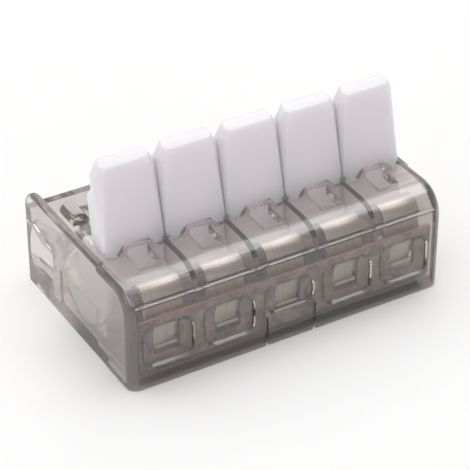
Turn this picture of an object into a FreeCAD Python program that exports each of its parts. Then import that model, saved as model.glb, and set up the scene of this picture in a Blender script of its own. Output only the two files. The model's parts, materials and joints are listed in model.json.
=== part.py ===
import FreeCAD, Part
import Sketcher
import math
import os
import re

# Five-way lever wire connector in millimetres.
# X runs along the row of poles, Y from the end cover (-Y) to the wire entries (+Y), Z up.
# The origin is the bottom centre. The levers are drawn open, which is the rest position.

doc = FreeCAD.newDocument("lever_wire_connector")

SIZES = {
    # whole connector
    "width": 29.9, "depth": 18.6, "poles": 5, "pitch": 5.65, "wall": 0.78, "play": 0.05,
    "bury": 0.2, "overcut": 1.0,
    # clear housing
    "roof_top": 9.6, "roof_wall": 0.8, "roof_back": -3.9, "nose_round": 2.75, "end_round": 0.9,
    "seam_level": 7.75, "rim_top": 9.35, "rim_round": 0.3, "rim_corner": 1.7, "back_wall": 0.8,
    "back_top": 7.6, "floor_bottom": 0.12, "floor_top": 0.95, "divider": 0.45, "divider_top": 6.9,
    "divider_front": -8.0, "divider_foot": -3.3, "entry_block_front": 4.6, "entry_block_top": 6.3,
    "entry_block_round": 1.6, "entry_level": 3.25, "entry_radius": 1.9, "mouth_radius": 2.35,
    "mouth_depth": 1.7, "crest_radius": 0.77, "crest_level": 6.43, "crest_front": 6.0,
    "slot_width": 1.95, "slot_front": -6.35, "slot_rise": 0.42, "tab_half": 1.95,
    "tab_top_half": 1.15, "tab_rise": 0.75, "tab_thick": 0.4, "seat_inner": 1.95,
    "seat_outer": 2.95, "seat_front": -3.2, "seat_back": 3.4, "seat_top": 4.4,
    # end cover
    "cover_back": -5.1, "sole": 0.55, "cover_floor": 0.9, "cover_recess": 0.05, "lip_top": 1.05,
    "cover_wall": 0.7, "cover_top": 7.7, "window_width": 4.5, "window_bottom": 1.85,
    "window_top": 5.3, "window_depth": 0.33, "window_round": 0.75, "window_slope": 20.0,
    "latch_width": 4.3, "latch_top": 2.75, "latch_ledge": 1.95, "latch_slit": 0.28,
    "latch_slit_depth": 0.35, "latch_window_bottom": 3.0,
    # busbar
    "sheet": 0.35, "bar_half": 13.95, "web_top": 6.2, "strip_back": -3.4, "tongue_back": 1.7,
    "tongue_width": 3.3, "hook_window": 2.4, "hook_bottom": 2.6, "hook_top": 5.4, "bar_bend": 0.6,
    # clamping springs
    "steel": 0.3, "spring_width": 3.5, "bend_y": -6.9, "bend_z": 7.15, "bend_radius": 1.1,
    "fixed_leg_end": 3.05, "hook_tab_width": 2.0, "hook_reach": 0.45, "fixed_bend_end": 77.0,
    "leg_bend_start": 76.0, "leg_bend_end": 45.0, "knee_run": 2.15, "knee_bend": 1.2,
    "leg_tip_y": 2.2, "leg_tip_z": 5.35, "ear_start": 0.35, "ear_length": 0.5, "ear_span": 4.7,
    # levers, drawn in a frame of their own with the hinge at its origin
    "hinge_y": -0.7, "hinge_z": 5.6, "lean": 8.5, "disc_radius": 3.6, "seat_play": 0.08,
    "disc_inner": 1.85, "disc_outer": 2.5, "notch_side": 0.85, "cam_near": -0.5, "cam_low": -0.97,
    "cam_low_start": 1.5, "cam_low_end": 2.4, "cam_far": 0.07, "plate_start": 0.6,
    "plate_thick": 1.2, "flange_depth": 2.1, "plate_wide_start": 3.7, "plate_half": 2.78,
    "plate_end": 10.98, "tip_ridge": 11.58, "tip_thick": 1.26, "taper_start": 8.3,
    "taper_end": 9.1, "base_bevel": 0.12, "tip_bevel": 0.69, "ridge_bevel": 0.15,
    "ridge_half": 1.9, "tip_corner_start": 10.3, "hollow_end": 8.9, "edge_round": 0.2,
}

sheet = doc.addObject("Spreadsheet::Sheet", "Sizes")
for row, (alias, value) in enumerate(SIZES.items(), start=1):
    sheet.set("A%d" % row, alias)
    sheet.set("B%d" % row, str(value))
    sheet.setAlias("B%d" % row, alias)
doc.recompute()

ALIAS = re.compile(r"\b(" + "|".join(sorted(SIZES, key=len, reverse=True)) + r")\b")
PLANES = {"YZ": "YZ_Plane", "XZ": "XZ_Plane", "XY": "XY_Plane"}


def bound(formula):
    """Write a formula of the sheet's aliases as a FreeCAD expression."""
    return ALIAS.sub(r"Sizes.\1", str(formula))


def number(formula):
    """Value of a formula of the sheet's aliases."""
    return float(sheet.evalExpression(bound(formula)))


def bind(item, **formulas):
    """Tie the properties of an object to the sheet; a double underscore stands for a dot."""
    for name, formula in formulas.items():
        item.setExpression(name.replace("__", "."), bound(formula))
    return item


def place(item, x="0", y="0", z="0"):
    """Tie the position of an object to the sheet."""
    return bind(item, Placement__Base__x=x, Placement__Base__y=y, Placement__Base__z=z)


def box(name, x, y, z):
    """Box between two formulas along each axis."""
    item = doc.addObject("Part::Box", name)
    bind(item, Length="(%s) - (%s)" % (x[1], x[0]), Width="(%s) - (%s)" % (y[1], y[0]),
         Height="(%s) - (%s)" % (z[1], z[0]))
    return place(item, x[0], y[0], z[0])


def round_bar(name, axis, radius, length, x, y, z):
    """Cylinder whose axis starts at x, y, z and runs along X or Y."""
    item = doc.addObject("Part::Cylinder", name)
    turn = {"X": (FreeCAD.Vector(0, 1, 0), 90), "Y": (FreeCAD.Vector(1, 0, 0), -90)}[axis]
    item.Placement = FreeCAD.Placement(FreeCAD.Vector(), FreeCAD.Rotation(*turn))
    bind(item, Radius=radius, Height=length)
    return place(item, x, y, z)


def cone_bar(name, small, large, length, x, y, z):
    """Cone along +Y that widens from the small radius to the large one."""
    item = doc.addObject("Part::Cone", name)
    item.Placement = FreeCAD.Placement(FreeCAD.Vector(), FreeCAD.Rotation(FreeCAD.Vector(1, 0, 0), -90))
    bind(item, Radius1=small, Radius2=large, Height=length)
    return place(item, x, y, z)


def fuse(name, items):
    """Join solids into one."""
    item = doc.addObject("Part::MultiFuse", name)
    item.Shapes = items
    item.Refine = True
    return item


def cut(name, base, tools):
    """Take the tools away from the base."""
    item = doc.addObject("Part::Cut", name)
    item.Base = base
    item.Tool = tools[0] if len(tools) == 1 else fuse(name + "_tools", tools)
    item.Refine = True
    return item


def origin_plane(body, plane):
    """Origin plane of a body, found by its role."""
    return next(item for item in body.Origin.OriginFeatures if item.Role == PLANES[plane])


def new_body(name):
    """Empty PartDesign body."""
    return doc.addObject("PartDesign::Body", name)


def outline(body, name, plane, corners, offset=None):
    """Closed sketch through corners given as formulas.

    A corner with a third entry is rounded with that radius. Every corner is held by
    distances from the sketch's origin that are bound to the sheet.
    """
    sketch = body.newObject("Sketcher::SketchObject", name)
    sketch.AttachmentSupport = [(origin_plane(body, plane), "")]
    sketch.MapMode = "FlatFace"
    if offset is not None:
        sketch.setExpression("AttachmentOffset.Base.z", bound(offset))
    points = [FreeCAD.Vector(number(corner[0]), number(corner[1]), 0) for corner in corners]
    count = len(points)
    for index in range(count):
        sketch.addGeometry(Part.LineSegment(points[index], points[(index + 1) % count]), False)
    for index in range(count):
        sketch.addConstraint(Sketcher.Constraint("Coincident", index, 2, (index + 1) % count, 1))
    for index, corner in enumerate(corners):
        for kind, formula in (("DistanceX", corner[0]), ("DistanceY", corner[1])):
            held = sketch.addConstraint(Sketcher.Constraint(kind, -1, 1, index, 1, number(formula)))
            sketch.setExpression("Constraints[%d]" % held, bound(formula))
    for index, corner in enumerate(corners):
        if len(corner) == 3:
            round_corner(sketch, index, (index - 1) % count, corner[2])
    return sketch


def round_corner(sketch, line, before, radius):
    """Round the corner where two lines of a sketch meet, with a radius bound to the sheet."""
    sketch.fillet(before, 2, number(radius), True, True)
    arc = sketch.GeometryCount - 1
    while sketch.Geometry[arc].TypeId != "Part::GeomArcOfCircle":
        arc -= 1
    held = sketch.addConstraint(Sketcher.Constraint("Radius", arc, number(radius)))
    sketch.setExpression("Constraints[%d]" % held, bound(radius))


def pad(body, sketch, length):
    """Pad a sketch to both sides of its plane."""
    item = body.newObject("PartDesign::Pad", sketch.Name + "_pad")
    item.Profile = sketch
    item.Midplane = True
    item.setExpression("Length", bound(length))
    sketch.Visibility = False
    return item


def pocket(body, sketch, length, reverse=False, both=False):
    """Pocket a sketch by a length."""
    item = body.newObject("PartDesign::Pocket", sketch.Name + "_pocket")
    item.Profile = sketch
    item.Midplane = both
    item.Reversed = reverse
    item.setExpression("Length", bound(length))
    return item


def pole_x(index):
    """Formula of the middle of a pole, numbered from 1 at the -X end."""
    return "(%d - (poles + 1) / 2) * pitch" % index


def edges_where(shape, test):
    """Names of the edges of a shape that pass a test."""
    return ["Edge%d" % count for count, edge in enumerate(shape.Edges, start=1) if test(edge)]


POLES = range(1, int(SIZES["poles"]) + 1)


def moulded_shell():
    """Outer form of the housing: the closed nose with its rounded ends and the open tray behind it."""
    nose = new_body("nose_block")
    low = "sole + play"
    pad(nose, outline(nose, "nose_profile", "YZ", [
        ("-depth / 2", low), ("-depth / 2", "roof_top", "nose_round"),
        ("roof_back", "roof_top"), ("roof_back", low)]), "width")
    doc.recompute()
    half = number("width / 2")
    round_edges(nose, "end_round", lambda edge: (
        on_end(edge, half) and middle(edge).z > number(low + " + bury")
        and middle(edge).y < number("roof_back - bury")))
    tray = new_body("tray_block")
    pad(tray, outline(tray, "tray_profile", "YZ", [
        ("cover_back + play", "floor_bottom"), ("cover_back + play", "cover_floor + bury"),
        ("roof_back", "cover_floor + bury"), ("roof_back", "rim_top"),
        ("depth / 2", "rim_top", "rim_corner"), ("depth / 2", "floor_bottom")]), "width")
    doc.recompute()
    round_edges(tray, "rim_round", lambda edge: (
        on_end(edge, half) and middle(edge).z > number("cover_floor + 2 * bury")
        and middle(edge).y > number("roof_back + bury")))
    return fuse("moulded_shell", [nose, tray])


def middle(edge):
    """Middle point of an edge."""
    return edge.valueAt((edge.FirstParameter + edge.LastParameter) / 2)


def on_end(edge, half):
    """Whether an edge lies in one of the two end faces."""
    return all(abs(abs(vertex.X) - half) < 1e-6 for vertex in edge.Vertexes)


def round_edges(body, radius, test):
    """Fillet those edges of a body that pass a test."""
    base = body.Tip
    item = body.newObject("PartDesign::Fillet", body.Name + "_round")
    item.Base = (base, edges_where(base.Shape, test))
    item.setExpression("Radius", bound(radius))
    return item


def housing():
    """Clear housing: shell, hollow, dividers, lever seats, wire entries and test slots."""
    inner = "(width / 2 - wall)"
    hollow = new_body("hollow")
    pad(hollow, outline(hollow, "hollow_profile", "YZ", [
        ("-depth / 2 + roof_wall", "-overcut"),
        ("-depth / 2 + roof_wall", "roof_top - roof_wall", "nose_round - roof_wall"),
        ("roof_back", "roof_top - roof_wall"), ("roof_back", "roof_top + overcut"),
        ("depth / 2 - back_wall", "roof_top + overcut"), ("depth / 2 - back_wall", "floor_top"),
        ("cover_back", "floor_top"), ("cover_back", "-overcut")]), "2 * " + inner)
    across = ("-" + inner, inner)
    mouth = box("cover_mouth", across, ("-depth / 2 - overcut", "-depth / 2 + roof_wall + bury"),
                ("-overcut", "seam_level"))
    low_back = box("low_back", across, ("depth / 2 - back_wall - bury", "depth / 2 + overcut"),
                   ("back_top", "roof_top + overcut"))
    shell = cut("hollow_shell", moulded_shell(), [hollow, mouth, low_back])

    ribs = [shell, entry_block(inner)]
    cuts = []
    for index in POLES:
        middle_x = pole_x(index)
        ribs += lever_seats(index, middle_x)
        ribs.append(round_bar("crest_%d" % index, "Y", "crest_radius",
                              "depth / 2 - back_wall + bury - crest_front",
                              middle_x, "crest_front", "crest_level"))
        if index > 1:
            ribs.append(divider(index, middle_x + " - pitch / 2"))
        cuts.append(round_bar("disc_room_%d" % index, "X", "disc_radius + seat_play", "pitch - divider",
                              middle_x + " - (pitch - divider) / 2", "hinge_y", "hinge_z"))
        cuts += wire_entry(index, middle_x)
        ribs.append(rest_tab(index, middle_x))
        cuts.append(box("test_slot_%d" % index,
                        (middle_x + " - slot_width / 2", middle_x + " + slot_width / 2"),
                        ("slot_front", "roof_back + overcut"),
                        ("roof_top - roof_wall - bury", "roof_top + slot_rise")))
    ribbed = cut("ribbed_housing", fuse("ribs_and_shell", ribs), cuts)
    doc.recompute()
    return softened_rim(ribbed, inner)


def softened_rim(ribbed, inner):
    """Round the inner edge along the top of each end wall."""
    rim = doc.addObject("Part::Fillet", "housing")
    rim.Base = ribbed
    radius = number("rim_round")
    level = number("rim_top")
    side = number(inner)
    names = edges_where(ribbed.Shape, lambda edge: all(
        abs(vertex.Z - level) < 1e-6 and abs(abs(vertex.X) - side) < 1e-6 for vertex in edge.Vertexes))
    rim.Edges = [(int(name[4:]), radius, radius) for name in names]
    return rim


def entry_block(inner):
    """Solid block behind the wells that the wire entries pass through."""
    block = new_body("entry_block")
    pad(block, outline(block, "entry_profile", "YZ", [
        ("entry_block_front", "floor_top - bury"),
        ("entry_block_front", "entry_block_top", "entry_block_round"),
        ("depth / 2 - back_wall + bury", "entry_block_top"),
        ("depth / 2 - back_wall + bury", "floor_top - bury")]), "2 * (%s + bury)" % inner)
    return block


def divider(index, middle_x):
    """Wall between two poles, low in the wells and up to the roof under the nose."""
    wall = new_body("divider_%d" % index)
    foot = "floor_top + sheet + play"
    back = "depth / 2 - back_wall + bury"
    pad(wall, outline(wall, "divider_profile_%d" % index, "YZ", [
        ("divider_front", foot), ("divider_front", "roof_top - roof_wall + bury"),
        ("roof_back", "roof_top - roof_wall + bury"), ("roof_back", "divider_top"),
        (back, "divider_top"), (back, "floor_top - bury"),
        ("divider_foot", "floor_top - bury"), ("divider_foot", foot)], middle_x), "divider")
    return wall


def lever_seats(index, middle_x):
    """Two ribs beside a pole's wire path; the discs of the lever turn in a hollow in their tops."""
    sides = {"a": ("%s - seat_outer", "%s - seat_inner"), "b": ("%s + seat_inner", "%s + seat_outer")}
    return [box("lever_seat_%d%s" % (index, side), (low % middle_x, high % middle_x),
                ("seat_front", "seat_back"), ("floor_top - bury", "seat_top"))
            for side, (low, high) in sides.items()]


def rest_tab(index, middle_x):
    """Tapered tab on the roof's back edge that an open lever leans on; it bridges the test slot."""
    tab = doc.addObject("Part::Wedge", "rest_tab_%d" % index)
    tab.Placement = FreeCAD.Placement(FreeCAD.Vector(), FreeCAD.Rotation(FreeCAD.Vector(1, 0, 0), 90))
    bind(tab, Xmin="-tab_half", Xmax="tab_half", X2min="-tab_top_half", X2max="tab_top_half",
         Ymin="0", Ymax="tab_rise + bury", Zmin="0", Zmax="tab_thick", Z2min="0", Z2max="tab_thick")
    return place(tab, middle_x, "roof_back", "roof_top - bury")


def wire_entry(index, middle_x):
    """Round hole for one wire, with a wide mouth in the back face."""
    hole = round_bar("wire_hole_%d" % index, "Y", "entry_radius",
                     "depth / 2 - entry_block_front + 2 * overcut",
                     middle_x, "entry_block_front - overcut", "entry_level")
    funnel = cone_bar("wire_mouth_%d" % index, "entry_radius", "mouth_radius", "mouth_depth",
                      middle_x, "depth / 2 - mouth_depth", "entry_level")
    return [hole, funnel]


def end_cover():
    """Clear cover that closes the front and the bottom of the contact chamber."""
    half = "(width / 2 - wall - play)"
    front = "-depth / 2 + cover_recess"
    inside = "-depth / 2 + cover_wall"
    curve = new_body("cover_curve")
    pad(curve, outline(curve, "cover_profile", "YZ", [
        (front, "0"), (front, "roof_top - cover_recess", "nose_round - cover_recess"),
        ("roof_back", "roof_top - cover_recess"), ("roof_back", "0")]), "2 * " + half)
    face = doc.addObject("Part::Common", "cover_face")
    face.Base = curve
    face.Tool = box("cover_slab", ("-" + half, half), ("-depth / 2 - overcut", inside),
                    ("0", "cover_top"))
    lip = box("cover_lip", ("-" + half, half), ("-depth / 2", inside), ("0", "lip_top"))
    floor = box("cover_floor_pad", ("-%s + play" % half, half + " - play"), (inside, "cover_back"),
                ("0", "cover_floor"))
    latch = new_body("latch_tab")
    pad(latch, outline(latch, "latch_profile", "YZ", [
        ("-depth / 2", "0"), ("-depth / 2", "latch_ledge"), (front, "latch_top"),
        (front + " + bury", "latch_top"), (front + " + bury", "0")]), "latch_width")
    windows = [cover_window(index, pole_x(index), front) for index in POLES]
    slits = [box("latch_slit_" + side, (low, low + " + latch_slit"),
                 ("-depth / 2 - overcut", "-depth / 2 + latch_slit_depth"), ("-overcut", "latch_top"))
             for side, low in (("a", "-latch_width / 2 - latch_slit"), ("b", "latch_width / 2"))]
    plate = fuse("cover_plate", [face, lip, floor, latch, cover_sole()])
    return cut("end_cover", plate, windows + slits)


def cover_sole():
    """Bottom plate of the cover, as wide as the housing, with rounded front corners."""
    sole = new_body("cover_sole")
    pad(sole, outline(sole, "sole_outline", "XY", [
        ("-width / 2", "-depth / 2", "end_round"), ("width / 2", "-depth / 2", "end_round"),
        ("width / 2", "cover_back"), ("-width / 2", "cover_back")], "sole / 2"), "sole")
    return sole


def cover_window(index, middle_x, front):
    """Shallow rounded window in front of a pole, with sloping sides."""
    bottom = "latch_window_bottom" if 2 * index == SIZES["poles"] + 1 else "window_bottom"
    window = new_body("window_%d" % index)
    sketch = outline(window, "window_outline_%d" % index, "XZ", [
        (middle_x + " - window_width / 2", bottom, "window_round"),
        (middle_x + " + window_width / 2", bottom, "window_round"),
        (middle_x + " + window_width / 2", "window_top", "window_round"),
        (middle_x + " - window_width / 2", "window_top", "window_round")], "-(%s)" % front)
    recess = window.newObject("PartDesign::Pad", "window_recess_%d" % index)
    recess.Profile = sketch
    recess.Reversed = True
    bind(recess, Length="window_depth", TaperAngle="-window_slope")
    return window


def busbar():
    """Tin-plated copper sheet: an upright web with hook windows, and one contact tongue per pole."""
    front = "-depth / 2 + cover_wall + play"
    bar = new_body("bar_profile")
    top = "floor_top + sheet"
    pad(bar, outline(bar, "bar_section", "YZ", [
        (front, "floor_top", "bar_bend"), (front, "web_top"), (front + " + sheet", "web_top"),
        (front + " + sheet", top, "bar_bend - sheet"), ("tongue_back", top),
        ("tongue_back", "floor_top")]), "2 * bar_half")
    cuts = []
    for index in POLES:
        middle_x = pole_x(index)
        cuts.append(box("hook_window_%d" % index,
                        (middle_x + " - hook_window / 2", middle_x + " + hook_window / 2"),
                        (front + " - overcut", front + " + sheet + overcut"),
                        ("hook_bottom", "hook_top")))
        cuts.append(box("tongue_gap_%d" % index,
                        (middle_x + " - pitch + tongue_width / 2", middle_x + " - tongue_width / 2"),
                        ("strip_back", "tongue_back + overcut"), ("0", top + " + overcut")))
    last = pole_x(len(POLES))
    cuts.append(box("tongue_gap_last", (last + " + tongue_width / 2", "bar_half + overcut"),
                    ("strip_back", "tongue_back + overcut"), ("0", top + " + overcut")))
    return cut("busbar", bar, cuts)


def polar(centre, radius, degrees):
    """Point at an angle round a centre, in the YZ plane."""
    turn = FreeCAD.Rotation(FreeCAD.Vector(1, 0, 0), degrees)
    return centre + turn.multVec(FreeCAD.Vector(0, radius, 0))


def bent_strip(line, thickness, width):
    """Sheet metal strip along a smooth line of straight runs and arcs in the YZ plane."""
    across = FreeCAD.Vector(1, 0, 0)
    sides = []
    for shift in (thickness / 2, -thickness / 2):
        edges = []
        for run in line:
            if run[0] == "straight":
                along = run[2] - run[1]
                along.normalize()
                normal = across.cross(along) * shift
                edges.append(Part.LineSegment(run[1] + normal, run[2] + normal).toShape())
            else:
                centre, radius, start, end = run[1:]
                reach = radius + (shift if end < start else -shift)
                ends = [polar(centre, reach, angle) for angle in (start, (start + end) / 2, end)]
                edges.append(Part.Arc(*ends).toShape())
        sides.append(edges)
    first, last = (([side[index] for side in sides]) for index in (0, -1))
    caps = [Part.LineSegment(first[0].valueAt(first[0].FirstParameter),
                             first[1].valueAt(first[1].FirstParameter)).toShape(),
            Part.LineSegment(last[0].valueAt(last[0].LastParameter),
                             last[1].valueAt(last[1].LastParameter)).toShape()]
    face = Part.Face(Part.Wire(Part.__sortEdges__(sides[0] + sides[1] + caps)))
    solid = face.extrude(FreeCAD.Vector(width, 0, 0))
    solid.translate(FreeCAD.Vector(-width / 2, 0, 0))
    return solid


def clamp_spring(index):
    """Part of a clamping spring that stays put: the leg on the busbar's web, its hook and the bend."""
    bend = FreeCAD.Vector(0, number("bend_y"), number("bend_z"))
    radius = number("bend_radius")
    top = polar(bend, radius, 180)
    foot = FreeCAD.Vector(0, top.y, number("fixed_leg_end"))
    steel = number("steel")
    leg = bent_strip([("straight", foot, top), ("arc", bend, radius, 180, number("fixed_bend_end"))],
                     steel, number("spring_width"))
    tab = Part.makeBox(number("hook_tab_width"), number("hook_reach + steel / 2"), steel,
                       foot - FreeCAD.Vector(number("hook_tab_width / 2"), number("hook_reach"), 0))
    spring = doc.addObject("Part::Feature", "clamp_spring_%d" % index)
    spring.Shape = leg.fuse(tab).removeSplitter()
    return place(spring, pole_x(index))


def clamp_leg(index):
    """Part of a clamping spring that moves: from the bend down to the tip, with an ear on each side."""
    bend = FreeCAD.Vector(0, number("bend_y"), number("bend_z"))
    tip = FreeCAD.Vector(0, number("leg_tip_y"), number("leg_tip_z"))
    steel = number("steel")
    radius = number("bend_radius")
    start, end = number("leg_bend_start"), number("leg_bend_end")
    leaving = polar(bend, radius, end)
    down = polar(FreeCAD.Vector(), 1, end - 90)
    knee = leaving + down * number("knee_run")
    out = tip - knee
    out.normalize()
    knee_radius = number("knee_bend")
    reach = knee_radius * math.tan(down.getAngle(out) / 2)
    centre = knee - down * reach + FreeCAD.Vector(1, 0, 0).cross(down) * knee_radius
    first, last = (math.degrees(math.atan2(point.z - centre.z, point.y - centre.y))
                   for point in (knee - down * reach, knee + out * reach))
    strip = bent_strip([("arc", bend, radius, start, end),
                        ("straight", leaving, knee - down * reach),
                        ("arc", centre, knee_radius, first, last),
                        ("straight", knee + out * reach, tip)], steel, number("spring_width"))
    ear_start = knee + out * ((number("ear_start") - knee.y) / out.y)
    ears = bent_strip([("straight", ear_start, ear_start + out * number("ear_length"))],
                      steel, number("ear_span"))
    leg = doc.addObject("Part::Feature", "clamp_leg_%d" % index)
    leg.Shape = strip.fuse(ears).removeSplitter()
    return place(leg, pole_x(index))


def lever(index):
    """White operating lever, drawn upright in its own frame with the hinge at the origin."""
    body = new_body("lever_%d" % index)
    face = "-disc_radius"
    under = face + " + flange_depth"

    disc = body.newObject("Sketcher::SketchObject", "disc_outline_%d" % index)
    disc.AttachmentSupport = [(origin_plane(body, "YZ"), "")]
    disc.MapMode = "FlatFace"
    rim = Part.Circle(FreeCAD.Vector(), FreeCAD.Vector(0, 0, 1), number("disc_radius"))
    disc.addGeometry(rim, False)
    disc.addConstraint(Sketcher.Constraint("Coincident", 0, 3, -1, 1))
    disc.addConstraint(Sketcher.Constraint("Radius", 0, number("disc_radius")))
    disc.setExpression("Constraints[1]", bound("disc_radius"))
    pad(body, disc, "2 * disc_outer")

    pad(body, outline(body, "flange_%d" % index, "YZ", [
        (face, "0"), (face, "plate_wide_start + bury"), (under, "plate_wide_start + bury"),
        (under, "0")]), "2 * disc_outer")
    sections = [plate_section(body, index, under, *section) for section in (
        ("base", "plate_wide_start", "plate_half", "base_bevel"),
        ("shoulder", "tip_corner_start", "plate_half", "tip_bevel"),
        ("ridge", "tip_ridge + play", "ridge_half", "ridge_bevel"))]
    plate = body.newObject("PartDesign::AdditiveLoft", "plate_%d" % index)
    plate.Profile = sections[0]
    plate.Sections = sections[1:]
    plate.Ruled = True

    far = "disc_radius + overcut"
    thin = face + " + tip_thick"
    above = "tip_ridge + 2 * overcut"
    pocket(body, outline(body, "taper_%d" % index, "YZ", [
        (under + " + bury", "taper_start"), (under, "taper_start"), (thin, "taper_end"), (thin, above),
        (under + " + bury", above)]), "width", both=True)
    fall = "(tip_ridge - plate_end) / tip_thick * overcut"
    pocket(body, outline(body, "end_face_%d" % index, "YZ", [
        (face + " - overcut", "plate_end - " + fall), (thin + " + overcut", "tip_ridge + " + fall),
        (thin + " + overcut", above), (face + " - overcut", above)]), "width", both=True)
    doc.recompute()
    seam = number("tip_corner_start")
    round_edges(body, "edge_round", lambda edge: middle(edge).z > number("plate_wide_start + bury")
                and edge.Length > number("1.5 * edge_round")
                and not (abs(middle(edge).z - seam) < number("play")
                         and abs(middle(edge).y + number("disc_radius")) < number("play")))

    pocket(body, outline(body, "hollow_%d" % index, "YZ", [
        ("-(%s)" % far, "-(%s)" % far), ("-(%s)" % far, "plate_start"),
        (face + " + plate_thick", "plate_start"), (face + " + plate_thick", "hollow_end"),
        (far, "hollow_end"), (far, "-(%s)" % far)]), "2 * disc_inner", both=True)
    pocket(body, outline(body, "cam_%d" % index, "YZ", [
        ("notch_side", "cam_near"), ("cam_low_start", "cam_low"), ("cam_low_end", "cam_low"),
        (far, "cam_far"), (far, far), ("notch_side", far)]), "width", both=True)
    body.Placement = FreeCAD.Placement(FreeCAD.Vector(), FreeCAD.Rotation(FreeCAD.Vector(1, 0, 0), -1))
    bind(body, Placement__Rotation__Angle="-lean")
    return place(body, pole_x(index), "hinge_y", "hinge_z")


def plate_section(body, index, under, name, level, half, bevel):
    """Cross-section of the lever's plate at a level, with bevelled front corners."""
    face = "-disc_radius"
    return outline(body, "plate_%s_%d" % (name, index), "XY", [
        ("-(%s)" % half, under), ("-(%s)" % half, "%s + %s" % (face, bevel)),
        ("-(%s) + %s" % (half, bevel), face), ("%s - %s" % (half, bevel), face),
        (half, "%s + %s" % (face, bevel)), (half, under)], level)


def write_parts(pieces):
    """Check every object of the document, then write each piece to its own file."""
    doc.recompute()
    failed = [item.Name for item in doc.Objects if "Invalid" in item.State or "Error" in item.State]
    if failed:
        raise RuntimeError("failed objects: " + ", ".join(failed))
    for name, piece in pieces.items():
        if piece.Shape.isNull() or not piece.Shape.isValid():
            raise RuntimeError("bad shape: " + name)
    os.makedirs("parts", exist_ok=True)
    for name, piece in pieces.items():
        piece.Label = name
        piece.Shape.exportStep("parts/%s.step" % name)
        size = piece.Shape.BoundBox
        print("%-16s solids %d volume %8.2f  X %6.2f %6.2f  Y %6.2f %6.2f  Z %6.2f %6.2f" % (
            name, len(piece.Shape.Solids), piece.Shape.Volume,
            size.XMin, size.XMax, size.YMin, size.YMax, size.ZMin, size.ZMax))


PIECES = {"housing": housing(), "end_cover": end_cover(), "busbar": busbar()}
for pole in POLES:
    PIECES["clamp_spring_%d" % pole] = clamp_spring(pole)
    PIECES["clamp_leg_%d" % pole] = clamp_leg(pole)
    PIECES["lever_%d" % pole] = lever(pole)
write_parts(PIECES)
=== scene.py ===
# %% [markdown]
# # Lever wire connector
# A splicing connector joins up to five wires. It has a clear housing, a clear end cover, one busbar, five
# clamping springs and five white levers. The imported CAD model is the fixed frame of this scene: it says where
# each part is and how it moves. The visible parts are made here, each in the place of its CAD part.

# %% Load the frame
import json
import math

import bmesh
import bpy
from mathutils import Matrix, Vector


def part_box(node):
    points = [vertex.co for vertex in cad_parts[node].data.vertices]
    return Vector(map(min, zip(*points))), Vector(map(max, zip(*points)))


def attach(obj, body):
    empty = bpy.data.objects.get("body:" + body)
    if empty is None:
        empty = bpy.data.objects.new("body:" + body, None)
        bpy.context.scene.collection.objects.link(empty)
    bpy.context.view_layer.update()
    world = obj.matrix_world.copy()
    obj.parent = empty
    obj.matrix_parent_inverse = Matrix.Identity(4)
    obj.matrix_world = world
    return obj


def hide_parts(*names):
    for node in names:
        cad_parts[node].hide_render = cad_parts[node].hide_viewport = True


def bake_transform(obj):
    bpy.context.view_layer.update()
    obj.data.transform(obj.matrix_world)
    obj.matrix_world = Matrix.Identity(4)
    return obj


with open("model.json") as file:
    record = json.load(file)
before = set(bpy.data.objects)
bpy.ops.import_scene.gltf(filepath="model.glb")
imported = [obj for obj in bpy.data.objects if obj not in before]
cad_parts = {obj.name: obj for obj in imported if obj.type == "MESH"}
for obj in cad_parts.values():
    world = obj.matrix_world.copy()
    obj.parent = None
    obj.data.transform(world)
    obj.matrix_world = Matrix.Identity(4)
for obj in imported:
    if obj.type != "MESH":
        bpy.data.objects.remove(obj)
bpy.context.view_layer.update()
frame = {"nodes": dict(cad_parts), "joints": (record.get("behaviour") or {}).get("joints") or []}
nodes = frame["nodes"]
scene = bpy.context.scene

MM = 0.001
POLES = range(1, 6)
joints = {joint["name"]: joint for joint in frame["joints"]}
pole_x = {pole: joints["lever_%d_hinge" % pole]["pos_m"][0] for pole in POLES}
print("poles at x, mm:", [round(x / MM, 2) for x in pole_x.values()])

# %% [markdown]
# Every finish is a node tree. Small helpers keep the trees short: one starts a material, one adds a node with
# its plain values, one joins two sockets and one mixes two colours. Plain values go straight onto a shader's
# own sockets, because only then does another program read them.

# %% Node helpers
def start_material(name, **values):
    """New node material with one Principled shader, whose plain values are given by name."""
    material = bpy.data.materials.new(name)
    material.use_nodes = True
    tree = material.node_tree
    tree.nodes.clear()
    output = tree.nodes.new("ShaderNodeOutputMaterial")
    shader = tree.nodes.new("ShaderNodeBsdfPrincipled")
    for socket, value in values.items():
        shader.inputs[socket.replace("_", " ")].default_value = value
    tree.links.new(shader.outputs[0], output.inputs["Surface"])
    return material, tree, shader, output


def add(tree, kind, label, settings=(), **values):
    """Add a node; settings are its own properties, values are its input sockets."""
    node = tree.nodes.new(kind)
    node.label = label
    for name, value in dict(settings).items():
        setattr(node, name, value)
    for socket, value in values.items():
        node.inputs[socket.replace("_", " ")].default_value = value
    return node


def join(tree, out_socket, in_socket):
    """Link two sockets."""
    tree.links.new(out_socket, in_socket)


def two_tones(tree, label, factor, first, second):
    """Mix two colours by a factor socket and return the mixed colour."""
    node = add(tree, "ShaderNodeMix", label, {"data_type": "RGBA"}, A=(*first, 1.0), B=(*second, 1.0))
    join(tree, factor, node.inputs["Factor"])
    return node.outputs["Result"]


# %% [markdown]
# Effects that several finishes share are shader groups with named inputs and outputs. Two helpers build them:
# one opens a group with its sockets, the other adds a noise in the object's own coordinates.

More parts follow.
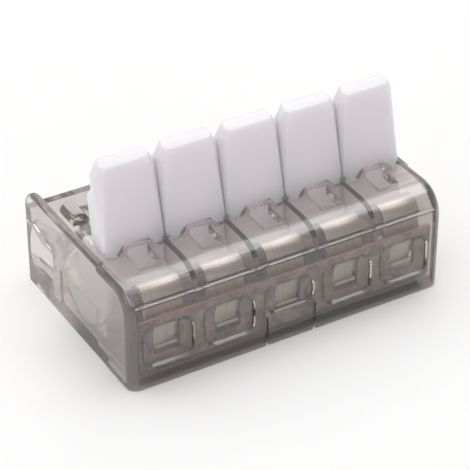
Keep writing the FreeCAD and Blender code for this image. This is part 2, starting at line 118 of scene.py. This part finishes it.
# %% Group helpers
def start_group(name, inputs, outputs):
    """New shader node group with named sockets; inputs carry their default values."""
    group = bpy.data.node_groups.new(name, "ShaderNodeTree")
    for socket, value in inputs.items():
        made = group.interface.new_socket(name=socket, in_out="INPUT", socket_type="NodeSocketFloat")
        made.default_value = value
    for socket, kind in outputs.items():
        group.interface.new_socket(name=socket, in_out="OUTPUT", socket_type=kind)
    return group, group.nodes.new("NodeGroupInput"), group.nodes.new("NodeGroupOutput")


def scaled(tree, value, low, high):
    """Map a 0 to 1 value onto a range; low and high may be sockets or numbers."""
    node = add(tree, "ShaderNodeMapRange", "range")
    join(tree, value, node.inputs["Value"])
    for name, end in (("To Min", low), ("To Max", high)):
        if isinstance(end, (int, float)):
            node.inputs[name].default_value = end
        else:
            join(tree, end, node.inputs[name])
    return node.outputs["Result"]


def noise(tree, label, place, scale, detail, distortion=0.0):
    """Noise in the object's own coordinates; scale is in features per metre."""
    node = add(tree, "ShaderNodeTexNoise", label, Scale=scale, Detail=detail, Distortion=distortion)
    join(tree, place, node.inputs["Vector"])
    return node.outputs["Fac"]

# %% [markdown]
# Moulded plastic is never perfectly flat. It has slow waves from shrinking in the mould, and a very fine
# texture copied from the steel of the mould. One noise could be stretched to do both, but two at their own
# sizes look right from near and far. This group puts out a height for a Bump node, a roughness and a mottle.

# %% Shader group: moulded skin
WAVES_PER_M, GRAIN_PER_M, PATCHES_PER_M = 260.0, 9000.0, 700.0

skin_group, skin_in, skin_out = start_group(
    "moulded_skin",
    {"Wave Share": 0.7, "Roughness Low": 0.03, "Roughness High": 0.08},
    {"Height": "NodeSocketFloat", "Roughness": "NodeSocketFloat", "Mottle": "NodeSocketFloat"})
place = add(skin_group, "ShaderNodeTexCoord", "place").outputs["Object"]
waves = noise(skin_group, "shrink waves", place, WAVES_PER_M, 2.0, 0.6)
grain = noise(skin_group, "mould texture", place, GRAIN_PER_M, 3.0)
patches = noise(skin_group, "flow patches", place, PATCHES_PER_M, 4.0, 1.2)
height = add(skin_group, "ShaderNodeMix", "waves and texture")
join(skin_group, skin_in.outputs["Wave Share"], height.inputs[0])
join(skin_group, grain, height.inputs[2])
join(skin_group, waves, height.inputs[3])
join(skin_group, height.outputs[0], skin_out.inputs["Height"])
join(skin_group, scaled(skin_group, patches, skin_in.outputs["Roughness Low"],
                        skin_in.outputs["Roughness High"]), skin_out.inputs["Roughness"])
join(skin_group, patches, skin_out.inputs["Mottle"])
print("group moulded_skin:", len(skin_group.nodes), "nodes")

# %% [markdown]
# Handling leaves fine hairline marks on plastic and on metal. They could be drawn one by one, but a noise
# that is stretched hard along one way gives thousands of them for nothing. The group turns that noise into a
# thin mask, which each material uses for its own roughness.

# %% Shader group: hairlines
line_group, line_in, line_out = start_group(
    "hairlines", {"Across": 9000.0, "Along": 260.0, "Fineness": 0.62}, {"Mask": "NodeSocketFloat"})
place = add(line_group, "ShaderNodeTexCoord", "place").outputs["Object"]
size = add(line_group, "ShaderNodeCombineXYZ", "stretch")
join(line_group, line_in.outputs["Across"], size.inputs["X"])
join(line_group, line_in.outputs["Along"], size.inputs["Y"])
join(line_group, line_in.outputs["Along"], size.inputs["Z"])
stretch = add(line_group, "ShaderNodeVectorMath", "stretched place", {"operation": "MULTIPLY"})
join(line_group, place, stretch.inputs[0])
join(line_group, size.outputs[0], stretch.inputs[1])
streaks = noise(line_group, "streaks", stretch.outputs[0], 1.0, 2.0)
edge = add(line_group, "ShaderNodeMapRange", "keep the peaks", {"interpolation_type": "SMOOTHSTEP"},
           From_Max=0.78)
join(line_group, streaks, edge.inputs["Value"])
join(line_group, line_in.outputs["Fineness"], edge.inputs["From Min"])
join(line_group, edge.outputs["Result"], line_out.inputs["Mask"])
print("group hairlines:", len(line_group.nodes), "nodes")

# %% [markdown]
# The steel mould of the nose was cut with a tool that ran along it, and it leaves faint ridges along the
# nose. The end faces were cut another way. This group keeps a mask of ridges only on faces that don't look
# sideways.

# %% Shader group: cutter ridges
ridge_group, ridge_in, ridge_out = start_group(
    "cutter_ridges", {"Mask": 0.0}, {"Height": "NodeSocketFloat"})
facing = add(ridge_group, "ShaderNodeSeparateXYZ", "which way the face looks")
own_normal = add(ridge_group, "ShaderNodeTexCoord", "own normal").outputs["Normal"]
join(ridge_group, own_normal, facing.inputs[0])
sideways = add(ridge_group, "ShaderNodeMath", "end faces", {"operation": "ABSOLUTE"})
join(ridge_group, facing.outputs["X"], sideways.inputs[0])
kept = add(ridge_group, "ShaderNodeMath", "not on end faces", {"operation": "SUBTRACT", "use_clamp": True})
kept.inputs[0].default_value = 1.0
join(ridge_group, sideways.outputs[0], kept.inputs[1])
ridges = add(ridge_group, "ShaderNodeMath", "ridges kept", {"operation": "MULTIPLY"})
join(ridge_group, ridge_in.outputs["Mask"], ridges.inputs[0])
join(ridge_group, kept.outputs[0], ridges.inputs[1])
join(ridge_group, ridges.outputs[0], ridge_out.inputs["Height"])
print("group cutter_ridges:", len(ridge_group.nodes), "nodes")

# %% [markdown]
# All finishes use the groups in the same way: the skin sets a patchy roughness, the lines add wear to it, and
# the height of the skin goes to a Bump node. These helpers do that wiring for any shader.

# %% Helpers: put the groups to use
def place_group(tree, group, label, **values):
    """Put a shader group into a material with its own values."""
    node = add(tree, "ShaderNodeGroup", label)
    node.node_tree = group
    for socket, value in values.items():
        node.inputs[socket.replace("_", " ")].default_value = value
    return node


def wear(tree, shader, skin, lines, share):
    """Roughness of the skin plus a share of the lines."""
    worn = add(tree, "ShaderNodeMath", "lines on the skin", {"operation": "MULTIPLY_ADD"})
    worn.inputs[1].default_value = share
    join(tree, lines.outputs["Mask"], worn.inputs[0])
    join(tree, skin.outputs["Roughness"], worn.inputs[2])
    join(tree, worn.outputs[0], shader.inputs["Roughness"])


def relief(tree, shader, label, height, strength, depth, below=None):
    """Bump from a height socket to the shader's normal, on top of another bump if one is given."""
    bump = add(tree, "ShaderNodeBump", label, Strength=strength, Distance=depth)
    join(tree, height, bump.inputs["Height"])
    if below:
        join(tree, below.outputs["Normal"], bump.inputs["Normal"])
    join(tree, bump.outputs["Normal"], shader.inputs["Normal"])
    return bump


# %% [markdown]
# The housing is clear polycarbonate with a faint smoky tint. Thin walls look almost clear, and long ways
# through the plastic look grey, so the smoke is a Volume Absorption and not only a surface colour. A little
# of the light is scattered back, which a Transmission Weight just under 1 gives. Lamp light would be lost
# behind refracting walls, so rays from lamps pass through a Transparent shader.

# %% Clear polycarbonate
POLYCARBONATE_IOR = 1.585
SMOKE_COLOUR = (0.60, 0.54, 0.53, 1.0)
LET_THROUGH = (0.91, 0.89, 0.885, 1.0)
PATCH_SHADE = 0.93
SKIN_DEPTH = RIDGE_DEPTH = 0.012 * MM


def lamp_light_passes(tree, shader, output):
    """Let rays to the lamps go straight through the plastic."""
    ray = add(tree, "ShaderNodeLightPath", "kind of ray")
    through = add(tree, "ShaderNodeBsdfTransparent", "lamp light goes through", Color=LET_THROUGH)
    let_in = add(tree, "ShaderNodeMixShader", "let lamp light in")
    join(tree, ray.outputs["Is Shadow Ray"], let_in.inputs["Fac"])
    join(tree, shader.outputs[0], let_in.inputs[1])
    join(tree, through.outputs[0], let_in.inputs[2])
    join(tree, let_in.outputs[0], output.inputs["Surface"])


def clear_plastic(name, tint, smoke, veil, roughness):
    """Smoky clear plastic: smoke is its density per metre, veil the share that it scatters back."""
    material, tree, shader, output = start_material(
        name, Base_Color=(*tint, 1.0), IOR=POLYCARBONATE_IOR, Transmission_Weight=1.0 - veil)
    skin = place_group(tree, skin_group, "skin", Wave_Share=0.75,
                       Roughness_Low=roughness[0], Roughness_High=roughness[1])
    shaded = [PATCH_SHADE * value for value in tint]
    join(tree, two_tones(tree, "tint with flow patches", skin.outputs["Mottle"], tint, shaded),
         shader.inputs["Base Color"])
    wear(tree, shader, skin, place_group(tree, line_group, "hairlines"), 0.12)
    skin_relief = relief(tree, shader, "skin relief", skin.outputs["Height"], 0.5, SKIN_DEPTH)
    cutter = place_group(tree, line_group, "cutter lines along the nose", Across=45.0, Along=2300.0,
                         Fineness=0.40)
    ridges = place_group(tree, ridge_group, "ridges")
    join(tree, cutter.outputs["Mask"], ridges.inputs["Mask"])
    relief(tree, shader, "cutter relief", ridges.outputs["Height"], 0.6, RIDGE_DEPTH, skin_relief)
    lamp_light_passes(tree, shader, output)
    haze = add(tree, "ShaderNodeVolumeAbsorption", "smoke", Color=SMOKE_COLOUR, Density=smoke)
    join(tree, haze.outputs[0], output.inputs["Volume"])
    return material


housing_plastic = clear_plastic("clear_housing", (0.83, 0.785, 0.775), 110.0, 0.095, (0.01, 0.03))
cover_plastic = clear_plastic("clear_cover", (0.80, 0.745, 0.73), 110.0, 0.035, (0.006, 0.02))
print("clear plastics:", housing_plastic.name, cover_plastic.name)

# %% [markdown]
# The two mouldings touch along the seam under the nose. Light crosses such a tight joint almost unchanged, so
# the faces of the joint get a finish that is nearly invisible, and the seam shows only as a thin line. With
# the plain finish the joint would mirror the lamps as a bright strip.

# %% Joint faces
seam_plastic, tree, shader, output = start_material(
    "clear_seam", Base_Color=(0.86, 0.82, 0.82, 1.0), IOR=POLYCARBONATE_IOR, Transmission_Weight=0.95,
    Alpha=0.12)
skin = place_group(tree, skin_group, "skin", Roughness_Low=0.05, Roughness_High=0.15)
join(tree, skin.outputs["Roughness"], shader.inputs["Roughness"])

# %% [markdown]
# The levers are white glossy nylon. Light sinks a little way into it, so its edges look soft, which is what
# Subsurface does. A plain white would look like paint: the mottle moves the white between a warm and a cool
# tone, and the hairlines break the gloss where fingers push.

# %% White nylon
LEVER_WARM, LEVER_COOL = (0.79, 0.755, 0.785), (0.76, 0.745, 0.80)
white, tree, shader, output = start_material(
    "white_lever", Subsurface_Weight=1.0, Subsurface_Scale=0.0022, Subsurface_Radius=(1.0, 0.85, 0.9),
    IOR=1.5, Coat_Weight=0.15, Coat_Roughness=0.12)
skin = place_group(tree, skin_group, "skin", Wave_Share=0.55, Roughness_Low=0.24, Roughness_High=0.36)
lines = place_group(tree, line_group, "finger marks", Across=2600.0, Along=5200.0, Fineness=0.66)
join(tree, two_tones(tree, "warm and cool white", skin.outputs["Mottle"], LEVER_WARM, LEVER_COOL),
     shader.inputs["Base Color"])
wear(tree, shader, skin, lines, 0.15)
relief(tree, shader, "skin relief", skin.outputs["Height"], 0.45, 0.01 * MM)

# %% [markdown]
# The springs are rolled stainless strip. Rolling leaves fine lines along the strip, so the gloss is streaky
# one way. The busbar is copper sheet with a dull tin plate; where the sheet was sheared after plating, the
# bare copper shows. Its mesh carries a mask called sheared, which the material reads to change from tin to
# copper.

# %% Metals
STEEL_LIGHT, STEEL_DARK = (0.66, 0.645, 0.59), (0.50, 0.49, 0.46)
TIN_LIGHT, TIN_DARK, COPPER = (0.43, 0.395, 0.37), (0.26, 0.235, 0.22), (0.86, 0.34, 0.22)


def metal(name, roughness, across, along):
    """Metal with mottled roughness and drawn lines; returns it with its tree, shader, skin and lines."""
    material, tree, shader, output = start_material(name, Metallic=1.0)
    skin = place_group(tree, skin_group, "skin", Wave_Share=0.4,
                       Roughness_Low=roughness[0], Roughness_High=roughness[1])
    lines = place_group(tree, line_group, "rolling lines", Across=across, Along=along, Fineness=0.45)
    wear(tree, shader, skin, lines, 0.14)
    relief(tree, shader, "skin relief", skin.outputs["Height"], 0.35, 0.006 * MM)
    return material, tree, shader, skin, lines


steel, tree, shader, skin, lines = metal("spring_steel", (0.26, 0.42), 7000.0, 220.0)
join(tree, two_tones(tree, "rolled steel tones", lines.outputs["Mask"], STEEL_LIGHT, STEEL_DARK),
     shader.inputs["Base Color"])

tin, tree, shader, skin, lines = metal("tinned_copper", (0.30, 0.55), 1800.0, 2600.0)
blotch = add(tree, "ShaderNodeMapRange", "dull blotches of the tin", From_Min=0.38, From_Max=0.62)
join(tree, skin.outputs["Mottle"], blotch.inputs["Value"])
sheared = add(tree, "ShaderNodeAttribute", "sheared edges", {"attribute_name": "sheared"})
bared = add(tree, "ShaderNodeMapRange", "border of the tin", From_Min=0.42, From_Max=0.62)
join(tree, sheared.outputs["Fac"], bared.inputs["Value"])
plate = two_tones(tree, "tin tones", blotch.outputs["Result"], TIN_LIGHT, TIN_DARK)
bare = add(tree, "ShaderNodeMix", "tin or bare copper", {"data_type": "RGBA"}, B=(*COPPER, 1.0))
join(tree, bared.outputs["Result"], bare.inputs["Factor"])
join(tree, plate, bare.inputs["A"])
join(tree, bare.outputs["Result"], shader.inputs["Base Color"])
print("materials:", [material.name for material in bpy.data.materials])

# %% [markdown]
# A moulded or stamped part has no knife-sharp edges, and its edges are where clear plastic catches the light.
# The CAD solids have sharp ones. A Bevel modifier over everything would cross over itself in tight corners,
# so this helper welds a copy of the CAD mesh, turns flat triangles back into whole faces, and bevels only
# those sharp edges that have room for it. A second, finer weld closes the slivers that a bevel leaves behind.

# %% Helper: a copy with softened edges
SHARP = math.radians(32)
FLAT = math.radians(0.8)
WELD = 0.002 * MM
ROOM = 2.6


def softened(node, name, width):
    """Closed mesh made from a CAD node, with its sharp edges rounded where there is room."""
    work = bmesh.new()
    work.from_mesh(nodes[node].data)
    bmesh.ops.remove_doubles(work, verts=work.verts, dist=WELD)
    bmesh.ops.dissolve_limit(work, angle_limit=FLAT, verts=work.verts, edges=work.edges,
                             use_dissolve_boundaries=False)
    room = ROOM * width
    crowded = {corner for edge in work.edges if edge.calc_length() < room for corner in edge.verts}
    chosen = [edge for edge in work.edges
              if edge.is_manifold and edge.calc_face_angle(0.0) > SHARP and edge.calc_length() > room
              and not crowded.intersection(edge.verts)]
    bmesh.ops.bevel(work, geom=chosen, offset=width, offset_type="OFFSET", segments=2, profile=0.5,
                    affect="EDGES", clamp_overlap=False)
    bmesh.ops.remove_doubles(work, verts=work.verts, dist=WELD / 4)
    bmesh.ops.dissolve_degenerate(work, edges=work.edges, dist=WELD / 4)
    mesh = bpy.data.meshes.new(name)
    work.to_mesh(mesh)
    work.free()
    print(name, "edges softened:", len(chosen), "faces:", len(mesh.polygons))
    return mesh


# %% [markdown]
# A visible piece is smooth on its rounds and flat on its flats. Shading it all smooth would bend the normals
# of the large flat faces towards the rounds, and a clear wall would then refract like a lens. Weighted
# normals keep the flat faces flat.

# %% Helpers: shading and placing
def shade(mesh, angle=30.0):
    """Smooth shading, kept crisp where two faces meet at more than the angle."""
    mesh.polygons.foreach_set("use_smooth", [True] * len(mesh.polygons))
    mesh.set_sharp_from_angle(angle=math.radians(angle))
    return mesh


def stand_in(mesh, body, replaced, material):
    """Object for a mesh that rides on a body in the place of CAD nodes."""
    mesh.materials.clear()
    mesh.materials.append(material)
    item = bpy.data.objects.new(mesh.name, mesh)
    scene.collection.objects.link(item)
    even = item.modifiers.new("flat_faces_stay_flat", "WEIGHTED_NORMAL")
    even.mode = "FACE_AREA"
    even.weight = 100
    even.keep_sharp = True
    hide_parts(*replaced)
    if body:
        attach(item, body)
    return item


# %% [markdown]
# The clear parts come first. Both are one moulding each: the housing with its roof, end walls, dividers and
# wire entries, and the end cover with its windows and latch.

# %% Clear mouldings
SOFT_EDGE = 0.05 * MM
COVER_EDGE = 0.03 * MM
SEAM_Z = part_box("end_cover")[1].z
SEAM_REACH = 0.12 * MM


def mark_seam(item, facing):
    """Give the faces of the joint under the nose their own material; facing is +1 for up, -1 for down."""
    item.data.materials.append(seam_plastic)
    count = 0
    for face in item.data.polygons:
        if face.normal.z * facing > 0.3 and abs(face.center.z - SEAM_Z) < SEAM_REACH:
            face.material_index = 1
            count += 1
    print(item.name, "seam faces:", count)


mark_seam(stand_in(shade(softened("housing", "housing_moulding", SOFT_EDGE)), "root", ["housing"],
                   housing_plastic), -1)
mark_seam(stand_in(shade(softened("end_cover", "end_cover_moulding", COVER_EDGE)), "root",
                   ["end_cover"], cover_plastic), 1)

# %% [markdown]
# The busbar is stamped from sheet. Its big faces are tin. Only the front half of the sheared top edge of its
# web shows bare copper; a cutting tool can drag tin over the rest of such an edge. The mask is stored in the
# mesh as a colour on each face corner, so it moves with the part and needs no image.

# %% Busbar
WEB_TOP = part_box("busbar")[1].z
WEB_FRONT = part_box("busbar")[0].y
WEB_THICK = 0.35 * MM
BUSBAR_EDGE = 0.03 * MM


def mark_sheared(mesh):
    """Colour attribute that is 1 on the bare copper along the top edge of the busbar and 0 on the tin."""
    layer = mesh.color_attributes.new("sheared", "FLOAT_COLOR", "CORNER")
    count = 0
    for face in mesh.polygons:
        top = face.normal.z > 0.8 and face.center.z > WEB_TOP - 0.05 * MM
        count += top
        for corner in face.loop_indices:
            y = mesh.vertices[mesh.loops[corner].vertex_index].co.y
            value = 1.0 if top and y < WEB_FRONT + 0.5 * WEB_THICK else 0.0
            layer.data[corner].color = (value, value, value, 1.0)
    print("sheared faces:", count, "of", len(mesh.polygons))
    return mesh


stand_in(mark_sheared(shade(softened("busbar", "busbar_sheet", BUSBAR_EDGE))), "root", ["busbar"], tin)

# %% [markdown]
# Each lever is one moulding. Its two discs turn in the housing, and its plate is what the finger lifts. The
# CAD shape already has its round corners, so the copy only needs its remaining sharp edges eased.

# %% Levers
LEVER_EDGE = 0.045 * MM
LEVER_CRISP_ANGLE = 40.0

for pole in POLES:
    name = "lever_%d" % pole
    moulding = shade(softened(name, name + "_moulding", LEVER_EDGE), LEVER_CRISP_ANGLE)
    stand_in(moulding, name, [name], white)

# %% [markdown]
# A spring is strip steel with eased edges. It could be extruded from its outline, but its width changes along
# its length, so a ring of the strip's section is placed at every point of its middle line, and the rings are
# joined by faces.

# %% Helper: sweep a strip along a bent line
STRIP_THICK = 0.3 * MM
STRIP_EASE = 0.05 * MM
EASE_STEPS = 2


def strip_section(half):
    """Outline of the strip across its length, a flat bar with eased corners."""
    points = []
    for corner, (side, face) in enumerate(((1, 1), (-1, 1), (-1, -1), (1, -1))):
        middle = Vector((side * (half - STRIP_EASE), face * (STRIP_THICK / 2 - STRIP_EASE)))
        for step in range(EASE_STEPS + 1):
            turn = math.radians(90 * corner + 90 * step / EASE_STEPS)
            points.append(middle + STRIP_EASE * Vector((math.cos(turn), math.sin(turn))))
    return points


def sweep_strip(name, path, middle_x):
    """Closed strip along a path of (y, z, direction, half width), with the direction in radians."""
    work = bmesh.new()
    rings = []
    for y, z, direction, half in path:
        rise = Vector((0.0, -math.sin(direction), math.cos(direction)))
        centre = Vector((middle_x, y, z))
        rings.append([work.verts.new(centre + Vector((across, 0.0, 0.0)) + rise * through)
                      for across, through in strip_section(half)])
    for first, second in zip(rings, rings[1:]):
        for index in range(len(first)):
            after = (index + 1) % len(first)
            work.faces.new((first[index], first[after], second[after], second[index]))
    work.faces.new(rings[0])
    work.faces.new(reversed(rings[-1]))
    bmesh.ops.recalc_face_normals(work, faces=work.faces)
    mesh = bpy.data.meshes.new(name)
    work.to_mesh(mesh)
    work.free()
    return mesh


# %% [markdown]
# A clamping spring is one bent strip: a narrow tongue hooked into the busbar, a short leg, a round bend under
# the nose, and a long leg that presses the wire down and has an ear on each side for the lever. The CAD has
# it in two solids, because only the long leg turns. Here it is one piece that rides on no body, so it keeps
# its rest shape when the lever moves.

# %% Clamping springs
WIDE, TONGUE = 1.75 * MM, 1.0 * MM
BEND_Y, BEND_Z = joints["clamp_leg_1_flex"]["pos_m"][1:]
BEND_RADIUS = 1.1 * MM
LEAVE = math.radians(45)
FOOT_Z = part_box("clamp_spring_1")[0].z + STRIP_THICK / 2
TONGUE_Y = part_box("clamp_spring_1")[0].y
TIP = Vector((2.2 * MM, 5.35 * MM))
KNEE_RUN, KNEE_RADIUS = 2.15 * MM, 1.2 * MM
EAR_START, EAR_LENGTH = 0.35 * MM, 0.5 * MM
HOOK_RADIUS = SHOULDER_RISE = 0.25 * MM
# Distance along the strip and half width, in mm, where the tongue widens to the strip and the strip to an
# ear.
SHOULDER = ((-0.10, 1.00), (-0.03, 1.03), (0.0, 1.10), (0.01, 1.65), (0.04, 1.72), (0.11, 1.75))
EAR = ((-0.10, 1.75), (-0.03, 1.78), (0.0, 1.85), (0.01, 2.25), (0.03, 2.32), (0.10, 2.35))


def arc(centre, radius, first, last, half, steps):
    """Path points on an arc that turns clockwise if last is below first, seen along +X."""
    way = -math.pi / 2 if last < first else math.pi / 2
    turns = [first + (last - first) * step / steps for step in range(steps + 1)]
    return [(centre[0] + radius * math.cos(turn), centre[1] + radius * math.sin(turn), turn + way, half)
            for turn in turns]


def spring_path():
    """Middle line of a spring from its hooked tongue, over the round bend, to the tip of the long leg."""
    back = BEND_Y - BEND_RADIUS
    hook = (back - HOOK_RADIUS, FOOT_Z + HOOK_RADIUS)
    path = [(TONGUE_Y, FOOT_Z, 0.0, TONGUE)]
    path += arc(hook, HOOK_RADIUS, -math.pi / 2, 0.0, TONGUE, 5)
    shoulder = hook[1] + SHOULDER_RISE
    for run, half in SHOULDER:
        path.append((back, shoulder + run * MM, math.pi / 2, half * MM))
    path += arc((BEND_Y, BEND_Z), BEND_RADIUS, math.pi, LEAVE, WIDE, 27)
    leave = Vector(path[-1][:2])
    down = Vector((math.cos(LEAVE - math.pi / 2), math.sin(LEAVE - math.pi / 2)))
    knee = leave + down * KNEE_RUN
    out = (TIP - knee).normalized()
    reach = KNEE_RADIUS * math.tan(down.angle(out) / 2)
    centre = knee - down * reach + Vector((-down.y, down.x)) * KNEE_RADIUS
    ends = (knee - down * reach, knee + out * reach)
    first, last = (math.atan2(*reversed(point - centre)) for point in ends)
    path += arc(centre, KNEE_RADIUS, first, last, WIDE, 8)
    heading = math.atan2(out.y, out.x)
    begin = knee + out * ((EAR_START - knee.x) / out.x)
    length = EAR_LENGTH / MM
    for run, half in EAR + tuple((length - run, half) for run, half in reversed(EAR)):
        point = begin + out * run * MM
        path.append((point.x, point.y, heading, half * MM))
    path.append((TIP.x, TIP.y, heading, WIDE))
    return path


for pole in POLES:
    x = pole_x[pole]
    strip = stand_in(shade(sweep_strip("clamping_spring_%d" % pole, spring_path(), x)), None,
                     ["clamp_spring_%d" % pole, "clamp_leg_%d" % pole], steel)
    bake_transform(strip)
print("points along a spring:", len(spring_path()))

# %% [markdown]
# The connector stands on a plain pale floor. Its fine fibre is a noise that moves the paper's tone a little.

# %% Floor
FLOOR_HALF = 2.0
FIBRES_PER_M = 900.0
PAPER_TONES = (0.925, 0.925, 0.925), (0.94, 0.94, 0.94)

floor_mesh = bpy.data.meshes.new("floor")
floor_mesh.from_pydata([(-FLOOR_HALF, -FLOOR_HALF, 0), (FLOOR_HALF, -FLOOR_HALF, 0),
                        (FLOOR_HALF, FLOOR_HALF, 0), (-FLOOR_HALF, FLOOR_HALF, 0)], [], [(0, 1, 2, 3)])
paper, tree, shader, output = start_material("floor_paper", Roughness=0.85)
fibre = add(tree, "ShaderNodeTexNoise", "paper fibre", Scale=FIBRES_PER_M, Detail=3.0)
join(tree, two_tones(tree, "paper tones", fibre.outputs["Fac"], *PAPER_TONES), shader.inputs["Base Color"])
floor_mesh.materials.append(paper)
floor = bpy.data.objects.new("floor", floor_mesh)
scene.collection.objects.link(floor)

# %% [markdown]
# The light is a soft studio light. One large box above and behind lights the tops and the floor, a smaller
# one at the left opens the end wall, a dim one opens the front, and a narrow one high on the right draws the
# bright band on the nose. The world is a dim warm grey, so that the front faces stay darker than the tops.

# %% Light
WORLD_COLOUR, WORLD_STRENGTH = (1.0, 0.975, 0.965, 1.0), 0.36
AIM = Vector((0.0, 0.0, 0.006))

world = bpy.data.worlds.new("studio")
scene.world = world
world.use_nodes = True
world.node_tree.nodes["Background"].inputs["Color"].default_value = WORLD_COLOUR
world.node_tree.nodes["Background"].inputs["Strength"].default_value = WORLD_STRENGTH


def soft_box(name, place, size, glow):
    """Rectangular lamp aimed at the connector; glow is how bright its face looks."""
    lamp = bpy.data.lights.new(name, "AREA")
    lamp.shape = "RECTANGLE"
    lamp.size, lamp.size_y = size
    lamp.energy = glow * math.pi * size[0] * size[1]
    item = bpy.data.objects.new(name, lamp)
    scene.collection.objects.link(item)
    item.location = place
    item.rotation_euler = (AIM - Vector(place)).to_track_quat("-Z", "Y").to_euler()


soft_box("overhead", (0.0, 0.15, 0.55), (1.0, 0.8), 1.3)
soft_box("left_fill", (-0.6, -0.2, 0.25), (0.4, 0.4), 1.3)
soft_box("front_fill", (-0.1, -0.75, 0.35), (0.7, 0.4), 0.6)
soft_box("nose_light", (0.21, 0.0, 0.42), (0.34, 0.11), 2.4)

# %% [markdown]
# The camera looks down on the front left corner with a long lens, so that the edges stay nearly parallel. It
# is placed by its two angles and its distance from a point inside the connector.

# %% Camera
AZIMUTH, ELEVATION = math.radians(-30.579), math.radians(33.816)
DISTANCE = 0.17183
TARGET = Vector((0.000563, 0.000718, 0.0042))
SENSOR = 36.0
FOCAL_SHARE = 4.2928

back = Vector((math.sin(AZIMUTH) * math.cos(ELEVATION), -math.cos(AZIMUTH) * math.cos(ELEVATION),
               math.sin(ELEVATION)))
camera_data = bpy.data.cameras.new("camera")
camera_data.sensor_width = SENSOR
camera_data.lens = FOCAL_SHARE * SENSOR
camera_data.clip_start = 0.01
camera = bpy.data.objects.new("camera", camera_data)
scene.collection.objects.link(camera)
camera.location = TARGET + back * DISTANCE
camera.rotation_euler = (-back).to_track_quat("-Z", "Y").to_euler()
scene.camera = camera
scene.view_settings.view_transform = "Standard"
